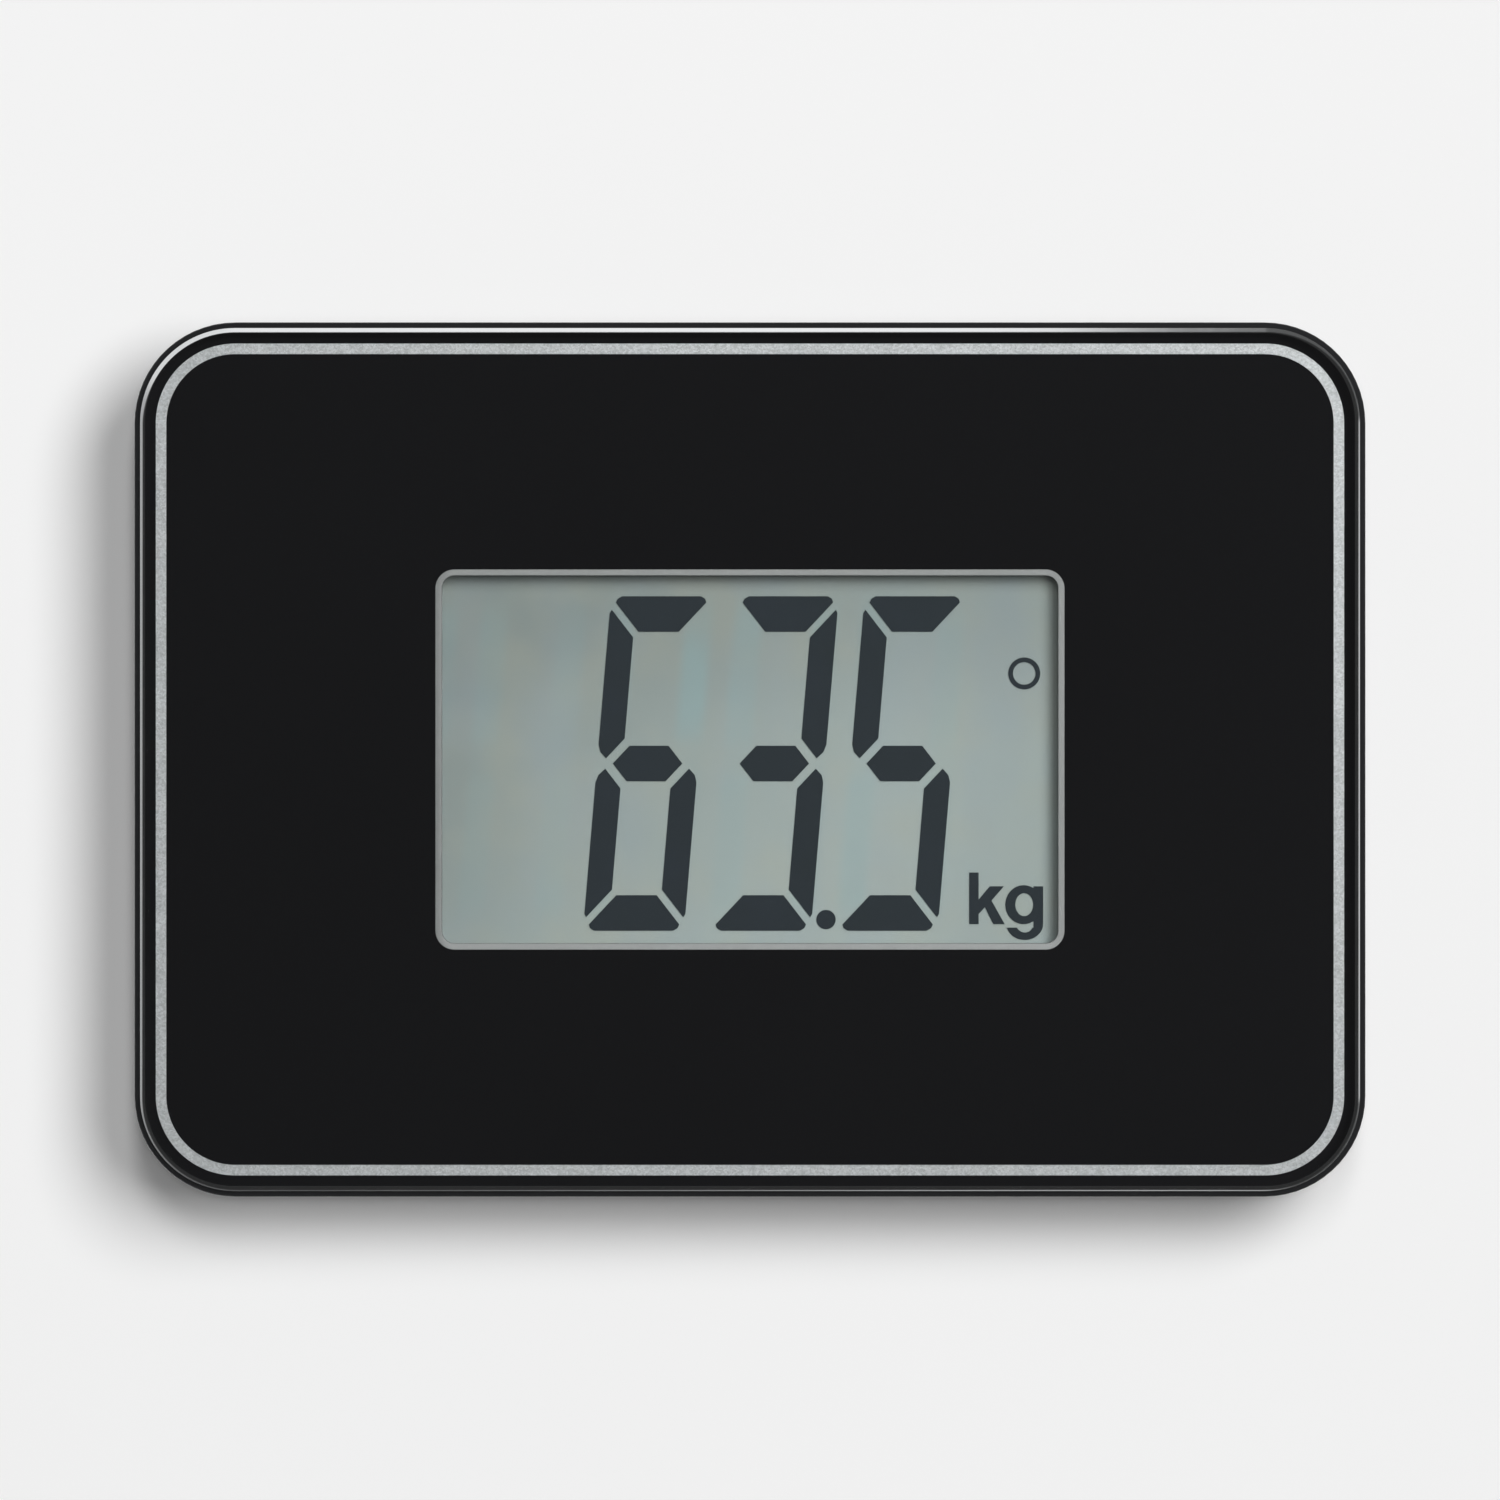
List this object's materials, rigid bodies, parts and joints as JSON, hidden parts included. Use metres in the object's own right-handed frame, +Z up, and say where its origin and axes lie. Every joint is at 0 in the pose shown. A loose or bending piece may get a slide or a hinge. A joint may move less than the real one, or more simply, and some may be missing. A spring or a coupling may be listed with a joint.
{
  "type": "digital bathroom scale",
  "caption": "Compact flat digital body scale with a glossy black platform, silver border stripe and a large central display.",
  "frame": {"origin": "under the middle of the four feet, on the floor", "axes": "+X along the platform's width, +Y away from the user's side of the display (towards its top), +Z up"},
  "size_m": [0.214, 0.152, 0.024],
  "materials": {
    "panel": "clear gloss",
    "ink": "gloss black print",
    "stripe": "metallic silver print",
    "adhesive": "matte foam",
    "housing": "fine matte black",
    "steel": "zinc plated",
    "bezel": "satin light grey",
    "film": "clear film",
    "glass": "clear",
    "seal": "satin",
    "segment": "dark",
    "idle": "faint",
    "reflector": "satin grey green",
    "holder": "white",
    "zebra": "soft",
    "pcb": "green solder mask",
    "epoxy": "gloss black",
    "tin": "bright",
    "blue": "sleeve",
    "nylon": "natural",
    "red": "red",
    "white": "white",
    "black": "black",
    "coating": "silicone",
    "pad": "matte",
    "button": "grey",
    "cell": "wrapped",
    "spring": "nickel plated"
  },
  "bodies": {
    "body": {"top_panel": "panel", "panel_ink": "ink", "border_stripe": "stripe", "panel_adhesive": "adhesive", "upper_housing": "housing", "stiffener_plate": "steel", "lcd_bezel": "bezel", "lcd_polarizer": "film", "lcd_front_glass": "glass", "lcd_seal": "seal", "lcd_segments": "segment", "lcd_idle_segments": "idle", "lcd_rear_glass": "glass", "lcd_reflector": "reflector", "lcd_holder": "holder", "zebra_strip_front": "zebra", "zebra_strip_rear": "zebra", "main_pcb": "pcb", "chip_blob": "epoxy", "quartz_crystal": "tin", "capacitors": "blue", "wire_headers": "nylon", "tact_switch": "black", "load_cell_1": "steel", "load_cell_2": "steel", "load_cell_3": "steel", "load_cell_4": "steel", "gauge_coatings": "coating", "base_cover": "housing", "aaa_cell_1": "cell", "aaa_cell_2": "cell", "aaa_cell_3": "cell", "aaa_cell_4": "cell", "battery_springs": "spring", "contact_plates": "spring", "case_screws": "steel", "pcb_screws": "steel", "leads_red": "red", "leads_white": "white", "leads_black": "black", "battery_lead_red": "red", "battery_lead_black": "black"},
    "foot_1": {"foot_shell_1": "housing", "foot_pad_1": "pad", "cell_clamp_1": "black"},
    "foot_2": {"foot_shell_2": "housing", "foot_pad_2": "pad", "cell_clamp_2": "black"},
    "foot_3": {"foot_shell_3": "housing", "foot_pad_3": "pad", "cell_clamp_3": "black"},
    "foot_4": {"foot_shell_4": "housing", "foot_pad_4": "pad", "cell_clamp_4": "black"},
    "cover": {"battery_cover": "housing"},
    "button": {"unit_button": "button", "switch_plunger": "red"}
  },
  "joints": [
    {"name": "foot_slide_1", "type": "slide", "parent": "body", "child": "foot_1", "axis": [0, 0, 1], "range_m": [0, 0.0005], "stiffness_N_per_m": 1500, "deforming": ["load_cell_1"]},
    {"name": "foot_slide_2", "type": "slide", "parent": "body", "child": "foot_2", "axis": [0, 0, 1], "range_m": [0, 0.0005], "stiffness_N_per_m": 1500, "deforming": ["load_cell_2"]},
    {"name": "foot_slide_3", "type": "slide", "parent": "body", "child": "foot_3", "axis": [0, 0, 1], "range_m": [0, 0.0005], "stiffness_N_per_m": 1500, "deforming": ["load_cell_3"]},
    {"name": "foot_slide_4", "type": "slide", "parent": "body", "child": "foot_4", "axis": [0, 0, 1], "range_m": [0, 0.0005], "stiffness_N_per_m": 1500, "deforming": ["load_cell_4"]},
    {"name": "battery_cover_hinge", "type": "hinge", "parent": "body", "child": "cover", "pos_m": [0.0816, 0.028, 0.0035], "axis": [1, 0, 0], "range_deg": [0, 75]},
    {"name": "unit_button_slide", "type": "slide", "parent": "body", "child": "button", "axis": [0, 0, 1], "range_m": [0, 0.0004], "stiffness_N_per_m": 150}
  ]
}
